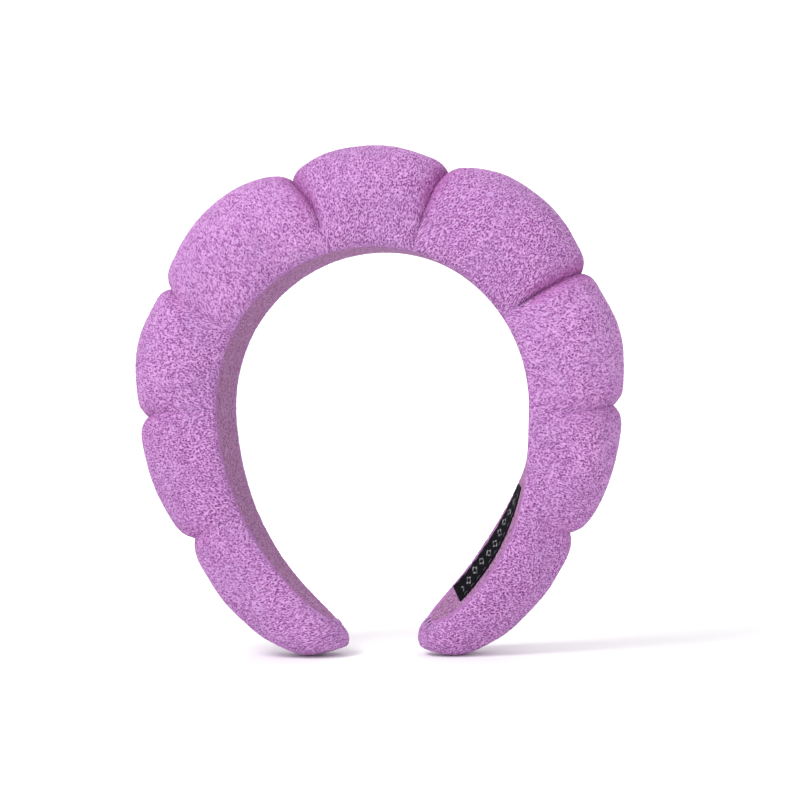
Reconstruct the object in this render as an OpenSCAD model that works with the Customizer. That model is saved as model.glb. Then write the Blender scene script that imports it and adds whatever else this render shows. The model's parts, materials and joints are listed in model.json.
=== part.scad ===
// Padded spa headband.
// A flat spring hoop is bent to an open C. Foam blocks ride on the outside of
// it, under a terry cover that threads draw in between one lobe and the next.
// A smooth lining strip closes the inner face and is sewn to the cover along
// its front and back edges.
//
// Millimetres. +Z points to the crown, +Y from the front to the back of the
// head, and the origin is the centre of the round upper half of the opening.
// A place along the band is its turn f in degrees: 0 at the crown, 90 where
// the flatter arm starts, more towards the tip. Height h is measured outwards
// from the inner face. Only the +X side is described, and the -X side is its
// mirror image, except that the lower +X arm, which carries the label, has a
// twist that turns its inner face towards the front.

/* [Opening] */
// Radius of the round upper half of the opening
head_r = 60; // [57:0.5:64]
// Radius of each flatter lower arm
arm_r = 104; // [98:1:112]
// Turn of each arm from its start to its tip, in degrees
arm_turn = 57.8; // [57:0.1:60]
// Twist of the lower +X arm about its own length, in degrees
arm_twist = 26; // [0:1:28]

/* [Hoop] */
// Width of the spring hoop, front to back
hoop_w = 12; // [8:0.5:16]
// Thickness of the spring hoop
hoop_t = 1.8; // [1.4:0.1:2]

/* [Lining] */
// Width of the lining round the upper half
lining_w = 31; // [27:0.5:32]
// Width of the lining at the tips
lining_tip_w = 17; // [14:0.5:18]
// Thickness of the lining
lining_t = 1; // [0.6:0.1:1]
// Turn of each arm at which the lining ends, in degrees
lining_turn = 52; // [49:0.5:52]

/* [Lobes] */
// Turn at each cinch between two lobes, in degrees
cinch_f = [19, 59, 91, 113.2]; // [10:0.1:120]
// Height of the cover at each cinch
cinch_h = [33.5, 34, 32, 24.7]; // [20:0.1:36]
// Half of the cover's depth at each cinch
cinch_y = [19, 18.5, 17.5, 15.5]; // [15.5:0.1:22]
// Height of the crown lobe's crest
crown_h = 40.5; // [38:0.5:44]
// Half of the crown lobe's depth
crown_y = 22.5; // [20:0.5:24]
// Height of the crest of the upper, side, lower and tip lobes
crest_h = [41.5, 37.5, 33, 26.5]; // [25:0.1:42]
// Half of the depth of the upper, side, lower and tip lobes
crest_y = [22.5, 21.5, 19, 15.5]; // [15:0.1:24]
// Thickness of the terry cover
cover_t = 2; // [1.4:0.1:2.4]

/* [Flex] */
// Turn of the joint at each cinch when the band is fully open, in degrees
open_turn = [12, 9.24, 6.6, 5.04]; // [4:0.01:14]

/* [Label] */
// Length of the satin label along the arm
label_l = 49; // [30:1:52]
// Width of the satin label
label_w = 14; // [8:0.5:14]
// Turn of the arm where the label starts, in degrees
label_turn = 18; // [16:0.5:24]

/* [Hidden] */

$fn = 180;
terry_colour = [0.78, 0.5, 0.8];
lining_colour = [0.72, 0.52, 0.76];
thread_colour = [0.62, 0.34, 0.66];
foam_colour = [0.95, 0.93, 0.85];
hoop_colour = [0.9, 0.9, 0.9];
label_colour = [0.06, 0.06, 0.07];
stitch_colour = [0.75, 0.75, 0.76];

// Centre of the arc that makes each arm, on the far side of the origin
arm_x = head_r - arm_r;
// Air between neighbouring pieces
gap = 0.3;
// Height of the hoop's inner and outer faces
hoop_h0 = lining_t + gap;
hoop_h1 = hoop_h0 + hoop_t;
// Height of the hinge line, the middle of the hoop's thickness
hinge_h = (hoop_h0 + hoop_h1) / 2;
// Turn of the arm at which the hoop ends, inside the tip
hoop_turn = 50;
// Height at which the foam starts, and how much higher its two edges are
foam_h = hoop_h1 + 0.8;
foam_edge = 0.6;
// Air between foam and cover, which is more in the rounded tips
foam_gap = 0.4;
tip_foam_gap = 1.4;
// Height of the cover's hem, just behind the lining's face
hem_h = 0.5;
// Seam thread, square, in the slot between lining and cover, and its height
seam_t = 0.7;
seam_h = 1.2;
// Distance from the lining's edge to the cover's hem, with room for the facets
hem_gap = seam_t + 2.8 * gap;
// How far the cover's edge leans over the seam's slot where the cover is narrow
hem_lean = 0.3;
// Extra angle and distance that keep two lobes apart when the band is open
spare_turn = 0.7;
spare_gap = 1;
// Cinch thread, and its distance from the end face it lies on
thread_t = 0.8;
thread_lift = 0.2;
// Turns between which the twist builds up
twist_f0 = 93;
twist_f1 = 128;
// Largest turn between two rings of a swept strip
strip_step = 2;
// Level below which the lining narrows towards the tips
taper_z = -10;
// How far the tip lobe's end is rounded over
round_l = 14;
// Place of the tip lobe's crest, and its fall from there, as a share of its height
tip_crest_s = 0.2;
tip_fall = 0.5;
// Last ring of the tip lobe and of its foam
tip_end_s = 0.992;
foam_end_s = 0.86;
// Roundness of a cross-section: 1 is an ellipse, less is squarer
bulge = 0.9;
// Points on a quarter of a cross-section, and rings along a lobe
quarter_n = 4;
rings_n = 10;

// ---- Places along the band -------------------------------------------------

// Direction straight outwards at turn f
function outward(f) = [sin(f), 0, cos(f)];

// Point on the hinge line at turn f
function hinge_point(f) =
    f > 90
        ? [arm_x, 0, 0] + (arm_r + hinge_h) * outward(f)
        : (head_r + hinge_h) * outward(f);

// Radius of the hinge line at turn f
function hinge_r(f) = (f > 90 ? arm_r : head_r) + hinge_h;

// Twist of the band at turn f. side is 1 for +X and -1 for -X.
function twist(f, side) =
    let (t = max(0, min(1, (f - twist_f0) / (twist_f1 - twist_f0))))
    side > 0 ? arm_twist * t * t * (3 - 2 * t) : 0;

// [height above the hinge line, depth] of a point once it is twisted by a
function twisted(h, y, a) =
    [(h - hinge_h) * cos(a) - y * sin(a), y * cos(a) + (h - hinge_h) * sin(a)];

// Point in the plane that leaves the hinge line at turn f in direction d
function plane_point(f, d, h, y, side) =
    let (q = twisted(h, y, twist(f, side)))
    hinge_point(f) + q[0] * outward(d) + [0, q[1], 0];

// Angle by which each lobe's end leans away from its cinch
function lean(i) = open_turn[i] / 2 + spare_turn;

// Half of the lining's width at turn f
function lining_y(f) =
    let (z = hinge_point(f)[2], tip_z = hinge_point(90 + arm_turn)[2])
    z > taper_z
        ? lining_w / 2
        : (lining_w + (lining_tip_w - lining_w) * (z - taper_z) / (tip_z - taper_z)) / 2;

// ---- Lobes -------------------------------------------------------------------
// A lobe is [start turn, end turn, start lean, end lean, profile]. A profile is
// [start, crest, end] heights followed by [start, crest, end] half depths.

lobes = [
    [-cinch_f[0], cinch_f[0], lean(0), lean(0),
        [cinch_h[0], crown_h, cinch_h[0], cinch_y[0], crown_y, cinch_y[0]]],
    [cinch_f[0], cinch_f[1], lean(0), lean(1),
        [cinch_h[0], crest_h[0], cinch_h[1], cinch_y[0], crest_y[0], cinch_y[1]]],
    [cinch_f[1], cinch_f[2], lean(1), lean(2),
        [cinch_h[1], crest_h[1], cinch_h[2], cinch_y[1], crest_y[1], cinch_y[2]]],
    [cinch_f[2], cinch_f[3], lean(2), lean(3),
        [cinch_h[2], crest_h[2], cinch_h[3], cinch_y[2], crest_y[2], cinch_y[3]]],
    [cinch_f[3], 90 + arm_turn, lean(3), 0,
        [cinch_h[3], crest_h[3], 0, cinch_y[3], crest_y[3], lining_tip_w / 2 + 3]]
];
tip = 4;

// Turn of the ring at share s of a lobe
function ring_turn(l, s) =
    let (f0 = l[0] + spare_gap / hinge_r(l[0]) * 180 / PI,
        f1 = l[1] - (l[3] > 0 ? spare_gap / hinge_r(l[1]) * 180 / PI : 0))
    f0 + (f1 - f0) * s;

// Direction of that ring's plane, which leans away from the cinch at each end
function ring_plane(l, s) = ring_turn(l, s) + l[2] * (1 - s) - l[3] * s;

// Point on that ring at height h and depth y
function ring_point(l, s, h, y, side) =
    plane_point(ring_turn(l, s), ring_plane(l, s), h, y, side);

// Arch between two cinches: 0 at both ends, 1 at the crest
function arch(s) = pow(1 - pow(abs(2 * s - 1), 2.3), 0.75);

// Value of a profile's start, crest and end at share s
function arched(p, i, s) =
    let (chord = p[i] + (p[i + 2] - p[i]) * s)
    chord + (p[i + 1] - (p[i] + p[i + 2]) / 2) * arch(s);

// Rounding of the free end of the tip lobe: 1 along it, 0 at the very tip
function end_round(s) =
    let (d = (1 - s) * (90 + arm_turn - cinch_f[3]) * PI / 180 * arm_r / round_l)
    d < 1 ? sqrt(1 - pow(1 - d, 2)) : 1;

function tip_height(p, s) =
    end_round(s) * (s < tip_crest_s
        ? p[0] + (p[1] - p[0]) * sin(90 * s / tip_crest_s)
        : p[1] * (1 - tip_fall * pow((s - tip_crest_s) / (1 - tip_crest_s), 2)));

function tip_depth(p, s) = end_round(s) * (p[3] + (p[5] - p[3]) * pow(s, 1.3));

// Outside height, half depth and hem of lobe i at share s
function lobe_h(i, s) =
    i == tip ? tip_height(lobes[i][4], s) : arched(lobes[i][4], 0, s);
function lobe_y(i, s) =
    i == tip ? tip_depth(lobes[i][4], s) : arched(lobes[i][4], 3, s);
function lobe_hem(i, s) =
    let (hem = lining_y(ring_turn(lobes[i], s)) + hem_gap)
    i == tip ? min(hem, 0.96 * lobe_y(i, s)) : hem;

// Arch-shaped cross-section from one hem over the top to the other, as [h, y].
// It stands on base, is h_top high and y_max deep each way, and closes in to hem.
function section(h_top, y_max, hem, base) =
    let (h_mid = base + 0.45 * (h_top - base))
    [for (k = [-2 * quarter_n : 2 * quarter_n])
        let (a = abs(k) * 90 / quarter_n, side = sign(k))
        a <= 90
            ? [h_mid + (h_top - h_mid) * pow(max(cos(a), 0), bulge),
                side * y_max * pow(sin(a), bulge)]
            : [base + (h_mid - base) * (1 - pow(sin(a - 90), bulge)),
                side * (hem + (y_max - hem) * pow(max(cos(a - 90), 0), bulge))]];

function reversed(v) = [for (k = [len(v) - 1 : -1 : 0]) v[k]];

// Cross-section of the cover: its outside, then back along its inside
function cover_section(i, s) =
    let (h = lobe_h(i, s), y = lobe_y(i, s), hem = lobe_hem(i, s),
        inner_h = max(h - cover_t, 0.4 * h),
        inner_y = max(y - cover_t, 0.5 * y),
        inner_hem = max(min(hem, inner_y), hem - hem_lean),
        inner_base = hem_h + min(cover_t, 0.1 * h))
    concat(section(h, y, hem, hem_h),
        reversed(section(inner_h, inner_y, inner_hem, inner_base)));

// Cross-section of the foam, whose underside is a little crowned
function foam_section(i, s) =
    let (air = cover_t + (i == tip ? tip_foam_gap : foam_gap),
        h = lobe_h(i, s) - air,
        y = lobe_y(i, s) - air,
        hem = min(lobe_hem(i, s) - 2, 0.95 * y))
    concat([[foam_h, -0.4 * hem]], section(h, y, hem, foam_h + foam_edge), [[foam_h, 0.4 * hem]]);

// Shares at which rings are placed, closer together towards the ends
function shares(last) = [for (k = [0 : rings_n]) last * (1 - cos(180 * k / rings_n)) / 2];

// Skin of a loft of n-point rings, and its two ends as strips across the ring
function loft_skin(n, rings) =
    [for (r = [0 : rings - 2], k = [0 : n - 1])
        let (a = r * n + k, b = r * n + (k + 1) % n)
        each [[a, b, b + n], [a, b + n, a + n]]];
function loft_ends(n, rings) =
    [for (k = [0 : n / 2 - 1])
        let (a = k, b = k + 1, c = n - 2 - k, d = n - 1 - k, top = (rings - 1) * n)
        each b < c
            ? [[a, c, b], [a, d, c], [top + a, top + b, top + c], [top + a, top + c, top + d]]
            : (b == c ? [[a, d, b], [top + a, top + b, top + d]] : [])];

module loft(points, n, rings) {
    polyhedron(points, concat(loft_skin(n, rings), loft_ends(n, rings)), convexity = 6);
}

module lobe_cover(i, side) {
    points = [for (t = shares(i == tip ? tip_end_s : 1), q = cover_section(i, t))
        ring_point(lobes[i], t, q[0], q[1], side)];
    color(terry_colour)
        loft(points, 2 * (4 * quarter_n + 1), rings_n + 1);
}

module lobe_foam(i, side) {
    points = [for (t = shares(i == tip ? foam_end_s : 1), q = foam_section(i, t))
        ring_point(lobes[i], t, q[0], q[1], side)];
    color(foam_colour)
        loft(points, 4 * quarter_n + 3, rings_n + 1);
}

// ---- Strips along the inner face ----------------------------------------------

// Upper half of a strip of height h0 to h1 and depth y0 to y1: half a ring
module round_strip(h0, h1, y0, y1) {
    rotate([90, 0, 0])
        rotate_extrude(angle = 180)
            translate([head_r + h0, -y1])
                square([h1 - h0, y1 - y0]);
}

// Strip along an arm. spans holds [turn, y0, y1] for each ring along it.
module arm_strip(h0, h1, spans, side) {
    points = [for (p = spans)
        let (mid = (p[1] + p[2]) / 2)
        each [for (q = [[h1, p[1]], [h1, mid], [h1, p[2]], [h0, p[2]], [h0, mid], [h0, p[1]]])
            plane_point(p[0], p[0], q[0], q[1], side)]];
    loft(points, 6, len(spans));
}

// Turns of the rings from f0 to f1, at most strip_step apart
function steps(f0, f1) =
    let (n = ceil((f1 - f0) / strip_step))
    [for (k = [0 : n]) f0 + (f1 - f0) * k / n];

module on_both_sides() {
    children(0);
    mirror([1, 0, 0])
        children(1);
}

// Half of the hoop's width at turn f: its ends are half round
function hoop_y(f) =
    let (d = (90 + hoop_turn - f) * PI / 180 * arm_r / (hoop_w / 2))
    hoop_w / 2 * (d < 1 ? max(0.15, sqrt(1 - pow(1 - d, 2))) : 1);

module hoop() {
    round_f = 90 + hoop_turn - hoop_w / 2 / arm_r * 180 / PI;
    round_turn = 90 + hoop_turn - round_f;
    turns = concat(steps(90, round_f), [for (k = [1 : 6]) round_f + round_turn * sin(15 * k)]);
    spans = [for (f = turns) [f, -hoop_y(f), hoop_y(f)]];
    color(hoop_colour) {
        round_strip(hoop_h0, hoop_h1, -hoop_w / 2, hoop_w / 2);
        on_both_sides() {
            arm_strip(hoop_h0, hoop_h1, spans, 1);
            arm_strip(hoop_h0, hoop_h1, spans, -1);
        }
    }
}

module lining() {
    spans = [for (f = steps(90, 90 + lining_turn)) [f, -lining_y(f), lining_y(f)]];
    color(lining_colour) {
        round_strip(0, lining_t, -lining_w / 2, lining_w / 2);
        on_both_sides() {
            arm_strip(0, lining_t, spans, 1);
            arm_strip(0, lining_t, spans, -1);
        }
    }
}

// Thread that joins lining and cover, in the slot between them, at the back or
// at the front
module seam(back) {
    h0 = seam_h;
    h1 = h0 + seam_t;
    near = lining_w / 2 + gap;
    spans = [for (f = steps(90, 90 + lining_turn))
        let (y = lining_y(f) + gap)
        back ? [f, y, y + seam_t] : [f, -y - seam_t, -y]];
    color(thread_colour) {
        if (back)
            round_strip(h0, h1, near, near + seam_t);
        else
            round_strip(h0, h1, -near - seam_t, -near);
        on_both_sides() {
            arm_strip(h0, h1, spans, 1);
            arm_strip(h0, h1, spans, -1);
        }
    }
}

// ---- Threads and stitches -------------------------------------------------------

// Loop of thread on the end face of lobe i, in the cinch that follows it
module cinch_thread(i, side) {
    f = ring_turn(lobes[i], 1);
    loop_h = lobe_h(i, 1) - cover_t / 2;
    loop_y = lobe_y(i, 1) - cover_t / 2;
    loop_hem = lobe_hem(i, 1) - hem_gap;
    outside = section(loop_h, loop_y, loop_hem, foam_h);
    inside = section(loop_h - thread_t, loop_y - thread_t, loop_hem - thread_t, foam_h + thread_t);
    color(thread_colour)
        translate(hinge_point(f))
            rotate([0, ring_plane(lobes[i], 1), 0])
                rotate([90, 0, 90])
                    rotate([0, 0, -twist(f, side)])
                        translate([0, -hinge_h, thread_lift])
                            linear_extrude(thread_t)
                                difference() {
                                    polygon([for (q = outside) [q[1], q[0]]]);
                                    polygon([for (q = inside) [q[1], q[0]]]);
                                }
}

// Stitches across the closed end of the tip
module tip_stitches(side) {
    stitch_w = 0.8;
    pitch = 2.2;
    f = 90 + lining_turn;
    color(thread_colour)
        for (y = [-pitch, 0, pitch])
            arm_strip(-0.4, 0.3,
                [for (d = [0.8, 2.6]) [f + d, y - stitch_w / 2, y + stitch_w / 2]], side);
}

// Label on the inner face, and its running stitches along both long edges
label_f0 = 90 + label_turn;
label_f1 = label_f0 + label_l / arm_r * 180 / PI;
label_y0 = -6;
label_t = 0.35;

module label() {
    spans = [for (f = steps(label_f0, label_f1)) [f, label_y0, label_y0 + label_w]];
    color(label_colour)
        arm_strip(-gap - label_t, -gap, spans, 1);
}

module label_stitches() {
    inset = 1.2;
    stitch_w = 0.5;
    stitch_t = 0.3;
    count = 12;
    margin = 1;
    step = (label_f1 - label_f0 - 2 * margin) / count;
    h = -gap - label_t - 0.1;
    color(stitch_colour)
        for (k = [0 : count - 1], y = [label_y0 + inset, label_y0 + label_w - inset])
            arm_strip(h - stitch_t, h,
                [for (d = [0.2, 0.8])
                    [label_f0 + margin + (k + d) * step, y - stitch_w / 2, y + stitch_w / 2]],
                1);
}

// ---- Nodes ----------------------------------------------------------------------

hoop();
lining();
seam(false);  // front_seam
seam(true);  // back_seam
lobe_foam(0, 1);  // crown_foam
lobe_cover(0, 1);  // crown_cover
lobe_foam(1, 1);  // right_upper_foam
lobe_cover(1, 1);  // right_upper_cover
lobe_foam(2, 1);  // right_side_foam
lobe_cover(2, 1);  // right_side_cover
lobe_foam(3, 1);  // right_lower_foam
lobe_cover(3, 1);  // right_lower_cover
lobe_foam(4, 1);  // right_tip_foam
lobe_cover(4, 1);  // right_tip_cover
mirror([1, 0, 0]) lobe_foam(1, -1);  // left_upper_foam
mirror([1, 0, 0]) lobe_cover(1, -1);  // left_upper_cover
mirror([1, 0, 0]) lobe_foam(2, -1);  // left_side_foam
mirror([1, 0, 0]) lobe_cover(2, -1);  // left_side_cover
mirror([1, 0, 0]) lobe_foam(3, -1);  // left_lower_foam
mirror([1, 0, 0]) lobe_cover(3, -1);  // left_lower_cover
mirror([1, 0, 0]) lobe_foam(4, -1);  // left_tip_foam
mirror([1, 0, 0]) lobe_cover(4, -1);  // left_tip_cover
cinch_thread(0, 1);  // right_cinch_1
cinch_thread(1, 1);  // right_cinch_2
cinch_thread(2, 1);  // right_cinch_3
cinch_thread(3, 1);  // right_cinch_4
mirror([1, 0, 0]) cinch_thread(0, -1);  // left_cinch_1
mirror([1, 0, 0]) cinch_thread(1, -1);  // left_cinch_2
mirror([1, 0, 0]) cinch_thread(2, -1);  // left_cinch_3
mirror([1, 0, 0]) cinch_thread(3, -1);  // left_cinch_4
tip_stitches(1);  // right_tip_stitches
mirror([1, 0, 0]) tip_stitches(-1);  // left_tip_stitches
label();
label_stitches();
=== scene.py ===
"""Spa headband: terry lobes over a springy hoop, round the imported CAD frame.

Lengths are in millimetres until a mesh is made, and Blender's are in metres.
A place along the band is its turn: 0 at the crown, positive towards the +X tip
and negative towards the -X tip, in degrees. Height is measured outwards from
the inner face, and depth is +Y, from the front of the head to the back.
"""
import json
import math

import bmesh
import bpy
import numpy as np
from mathutils import Matrix, Vector


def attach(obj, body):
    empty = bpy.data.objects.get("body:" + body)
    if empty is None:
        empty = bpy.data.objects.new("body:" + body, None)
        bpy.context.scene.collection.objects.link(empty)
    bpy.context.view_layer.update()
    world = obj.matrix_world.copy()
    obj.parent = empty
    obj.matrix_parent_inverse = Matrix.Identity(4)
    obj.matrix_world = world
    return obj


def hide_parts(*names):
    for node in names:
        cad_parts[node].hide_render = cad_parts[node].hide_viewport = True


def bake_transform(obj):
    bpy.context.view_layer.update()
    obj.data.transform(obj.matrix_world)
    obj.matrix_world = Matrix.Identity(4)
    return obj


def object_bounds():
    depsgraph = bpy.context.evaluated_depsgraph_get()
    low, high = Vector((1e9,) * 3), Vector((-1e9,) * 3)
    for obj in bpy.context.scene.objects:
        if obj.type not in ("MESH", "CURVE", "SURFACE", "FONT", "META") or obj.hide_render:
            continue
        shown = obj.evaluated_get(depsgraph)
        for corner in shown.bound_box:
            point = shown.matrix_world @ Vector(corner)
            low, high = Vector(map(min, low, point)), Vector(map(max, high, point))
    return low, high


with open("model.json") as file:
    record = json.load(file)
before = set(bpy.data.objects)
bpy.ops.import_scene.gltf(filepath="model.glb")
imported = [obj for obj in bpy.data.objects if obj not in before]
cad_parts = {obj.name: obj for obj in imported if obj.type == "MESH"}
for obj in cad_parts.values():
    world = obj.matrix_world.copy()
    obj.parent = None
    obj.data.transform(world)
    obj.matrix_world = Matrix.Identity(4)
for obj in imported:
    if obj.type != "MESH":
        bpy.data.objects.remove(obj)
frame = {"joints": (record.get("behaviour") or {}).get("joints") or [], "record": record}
cad_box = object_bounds()

MM = 0.001

# ---- The band, as the CAD has it ------------------------------------------

HEAD_R = frame["record"]["mounts"][0]["dims"]["r_mm"]
ARM_R = 104.0
ARM_X = HEAD_R - ARM_R
ARM_TURN = 57.8
HINGE_H = 2.2
HOOP_W, HOOP_H0, HOOP_H1, HOOP_TURN = 12.0, 1.3, 3.1, 50.0
LINING_W, LINING_TIP_W, LINING_T, LINING_TURN = 31.0, 17.0, 1.0, 52.0
TAPER_Z = -10.0
ARM_TWIST, TWIST_F0, TWIST_F1 = 26.0, 93.0, 128.0
LABEL_F0, LABEL_L, LABEL_Y0, LABEL_W = 108.0, 49.0, -6.0, 14.0
FOAM_H, FOAM_EDGE = 3.9, 0.6

# Height and half depth at the start, crest and end of the crown, upper, side and
# lower lobes, then the tip lobe's heights at its start and crest and its half depths
# at its start and end
LOBE_H = [(33.5, 40.5, 33.5), (33.5, 41.5, 34), (34, 37.5, 32), (32, 33, 24.7)]
LOBE_Y = [(19, 22.5, 19), (19, 22.5, 18.5), (18.5, 21.5, 17.5), (17.5, 19, 15.5)]
TIP_H, TIP_Y = (24.7, 26.5), (15.5, 11.5)
TIP_END_F = 90 + ARM_TURN
TIP_CREST_S, TIP_FALL, TIP_ROUND = 0.2, 0.5, 14.0
BULGE, MID_SHARE = 0.9, 0.45
ARCH_POWER, ARCH_ROUND = 2.3, 0.75
DEPTH_POWER = 1.3
COVER_T = 2.0
SEGMENTS = ["upper", "side", "lower", "tip"]

# Turns at which the shown lining starts to round off, and ends
LINING_ROUND_F, LINING_END = 133.0, 91 + LINING_TURN

# Turn at which the inner face starts to rise towards the tip's nose, how far it
# rises, and the height of the tip's outer face there without its rounded end
NOSE_F, NOSE_RISE, NOSE_TOP = 143.2, 5.5, 13.0


def joint_named(name):
    return next(j for j in frame["joints"] if j["name"] == name)


def turn_of(pos_m):
    """Turn of a point on the +X side, from its place in metres."""
    x, z = pos_m[0] / MM, pos_m[2] / MM
    return math.degrees(math.atan2(x - (ARM_X if z < 0 else 0), z))


CINCH_F = [turn_of(joint_named(f"right_flex_{i + 1}")["pos_m"]) for i in range(4)]
EDGES = [-CINCH_F[0], *CINCH_F, TIP_END_F]
MIDDLES = [0] + [(EDGES[i] + EDGES[i + 1]) / 2 for i in (1, 2, 3)]


def smooth(t):
    t = np.clip(t, 0, 1)
    return t * t * (3 - 2 * t)


def hinge_line(f):
    """X and Z of the hinge line at turn f of the +X side, and the direction outwards."""
    a = np.radians(f)
    arm = np.asarray(f) > 90
    r = np.where(arm, ARM_R, HEAD_R) + HINGE_H
    return np.where(arm, ARM_X, 0) + r * np.sin(a), r * np.cos(a), np.sin(a), np.cos(a)


def twist_at(turn):
    """The +X arm's twist, in radians."""
    t = np.radians(ARM_TWIST * smooth((np.abs(turn) - TWIST_F0) / (TWIST_F1 - TWIST_F0)))
    return np.where(np.asarray(turn) > 0, t, 0)


def place(turn, h, y):
    """Points at a turn, a height and a depth, with the +X arm's twist."""
    turn, h, y = np.broadcast_arrays(np.asarray(turn, float), h, y)
    x0, z0, ox, oz = hinge_line(np.abs(turn))
    t = twist_at(turn)
    up = (h - HINGE_H) * np.cos(t) - y * np.sin(t)
    deep = y * np.cos(t) + (h - HINGE_H) * np.sin(t)
    side = np.where(turn < 0, -1, 1)
    return np.stack([side * (x0 + up * ox), deep, z0 + up * oz], -1)


def lining_y(turn):
    """Half of the lining's width."""
    z = hinge_line(np.abs(turn))[1]
    tip_z = hinge_line(TIP_END_F)[1]
    t = np.clip((z - TAPER_Z) / (tip_z - TAPER_Z), 0, 1)
    return (LINING_W + (LINING_TIP_W - LINING_W) * t) / 2


def lining_edge(turn):
    """Half of the shown lining's width, which is rounded off towards the tips."""
    t = (np.abs(turn) - LINING_ROUND_F) / (LINING_END - LINING_ROUND_F)
    return lining_y(turn) * np.sqrt(1 - np.clip(t, 0, 1) ** 2)


def lobe_of(turn):
    """Number of the lobe that each turn is in, and the share of it that is passed."""
    f = np.abs(turn)
    i = np.clip(np.searchsorted(EDGES, f, side="right") - 1, 0, 4)
    lo, hi = np.take(EDGES, i), np.take(EDGES, i + 1)
    return i, np.clip((f - lo) / (hi - lo), 0, 1)


def arched(start, crest, end, s):
    """Value at share s between two cinches."""
    arch = (1 - np.abs(2 * s - 1) ** ARCH_POWER) ** ARCH_ROUND
    return start + (end - start) * s + (crest - (start + end) / 2) * arch


def end_round(s):
    """Rounding of the free end of the tip lobe."""
    d = (1 - s) * math.radians(TIP_END_F - CINCH_F[3]) * ARM_R / TIP_ROUND
    return np.sqrt(np.clip(1 - np.clip(1 - d, 0, 1) ** 2, 0, 1))


def tip_height(s):
    rise = np.sin(np.pi / 2 * np.clip(s / TIP_CREST_S, 0, 1))
    fall = np.clip((s - TIP_CREST_S) / (1 - TIP_CREST_S), 0, 1) ** 2
    return end_round(s) * (TIP_H[0] + (TIP_H[1] - TIP_H[0]) * rise) * (1 - TIP_FALL * fall)


def tip_depth(s):
    return end_round(s) * (TIP_Y[0] + (TIP_Y[1] - TIP_Y[0]) * s**DEPTH_POWER)


def nose_base(turn):
    """How far the inner face has risen towards the nose of the tip, which closes above it."""
    u = np.clip((np.abs(turn) - NOSE_F) / (TIP_END_F - NOSE_F), 0, 1)
    return NOSE_RISE * (1 - np.sqrt(np.clip(1 - u**2, 0, 1)))


def lobed(turn, profiles, tip):
    """Height or half depth of the cover with its scallops."""
    i, s = lobe_of(turn)
    ends = (np.take([p[k] for p in profiles], i, mode="clip") for k in range(3))
    return np.where(i == 4, tip(s), arched(*ends, s))


def unpinched(turn, profiles, tip):
    """The same as if nothing cinched it: a smooth line from crest to crest."""
    f = np.abs(turn)
    s = (f - EDGES[4]) / (TIP_END_F - EDGES[4])
    tip_f = EDGES[4] + TIP_CREST_S * (TIP_END_F - EDGES[4])
    crests = [p[1] for p in profiles] + [float(tip(np.array(TIP_CREST_S)))]
    line = np.interp(f, [*MIDDLES, tip_f], crests)
    return np.where(f > tip_f, tip(np.clip(s, 0, 1)), line)


def section(top, wide, hem, base, angle):
    """Height and depth on an arch from the front hem, at -pi, over the top to the back hem."""
    a = np.abs(angle)
    mid = base + MID_SHARE * (top - base)
    high = a <= np.pi / 2
    low = np.maximum(a - np.pi / 2, 0)
    up = np.maximum(np.cos(np.minimum(a, np.pi / 2)), 0) ** BULGE
    over = np.sin(np.minimum(a, np.pi / 2)) ** BULGE
    down = np.maximum(np.sin(low), 0) ** BULGE
    under = np.maximum(np.cos(low), 0) ** BULGE
    h = np.where(high, mid + (top - mid) * up, base + (mid - base) * (1 - down))
    y = np.where(high, wide * over, hem + (wide - hem) * under)
    return h, np.sign(angle) * y


# ---- Shape of the terry cover -----------------------------------------------

LOBE_STEPS, TIP_STEPS, SECTION_STEPS = 18, 40, 60
LAST_S = 0.9996  # share of the tip lobe at its last ring, just short of a point

# Height of the hem, and its distance from the lining's edge
HEM_H, HEM_GAP = 0.25, 0.12
HEM_H_SHARE, HEM_Y_SHARE = 0.2, 0.96  # at most these shares of height and half depth

# How far each cinch bites into the front and the back of the cover, and how far
# its crease strays towards the crown on its way down the front, in degrees
BITE_FRONT = {-4: 0.35, -3: 0.35, -2: 0.35, -1: 1.2, 1: 1.1, 2: 1.5, 3: 0.35, 4: 0.3}
BITE_BACK = {-4: 0.5, -3: 0.6, -2: 1.0, -1: 0.9, 1: 1.1, 2: 0.8, 3: 0.7, 4: 0.5}
STRAY = {-4: 0.0, -3: 1.0, -2: -1.0, -1: 5.0, 1: 1.5, 2: 1.0, 3: -1.0, 4: 0.5}
STRAY_REACH, STRAY_BACK = 14, -0.5  # degrees from the cinch, share at the back

# Depth and half width of the groove at a cinch, in millimetres
GROOVE, GROOVE_W, GROOVE_POWER = 1.6, 1.7, 1.3
GROOVE_CENTRE = 0.35  # share of the height that grooves point at

# Angles round the section, in radians from its top, between which a cinch comes to
# bite fully, its groove fades out, its crease strays and its painted shade fades out
BITE_FROM, BITE_TO = 0.5, 1.6
GROOVE_FROM, GROOVE_TO = 1.5, 2.5
STRAY_FROM, STRAY_TO = 0.2, 1.8
SHADE_FROM, SHADE_TO = 1.0, 2.2
MOST_BITE_H = 1.25  # largest bite that acts on the height
MM_PER_DEGREE = 1.6  # of the band's outer half, roughly


def band_turns():
    """Turns of the coarse rings, closer together towards each cinch."""
    bell = (1 - np.cos(np.pi * np.arange(LOBE_STEPS + 1) / LOBE_STEPS)) / 2
    right = [EDGES[i] + (EDGES[i + 1] - EDGES[i]) * bell for i in range(1, 4)]
    bell_tip = (1 - np.cos(np.pi * np.arange(TIP_STEPS + 1) / TIP_STEPS)) / 2
    tip = EDGES[4] + (TIP_END_F - EDGES[4]) * LAST_S * bell_tip
    right = np.concatenate([right[0]] + [r[1:] for r in (*right[1:], tip)])
    crown = EDGES[0] + (EDGES[1] - EDGES[0]) * bell
    return np.concatenate([-right[::-1], crown[1:-1], right])


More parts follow.
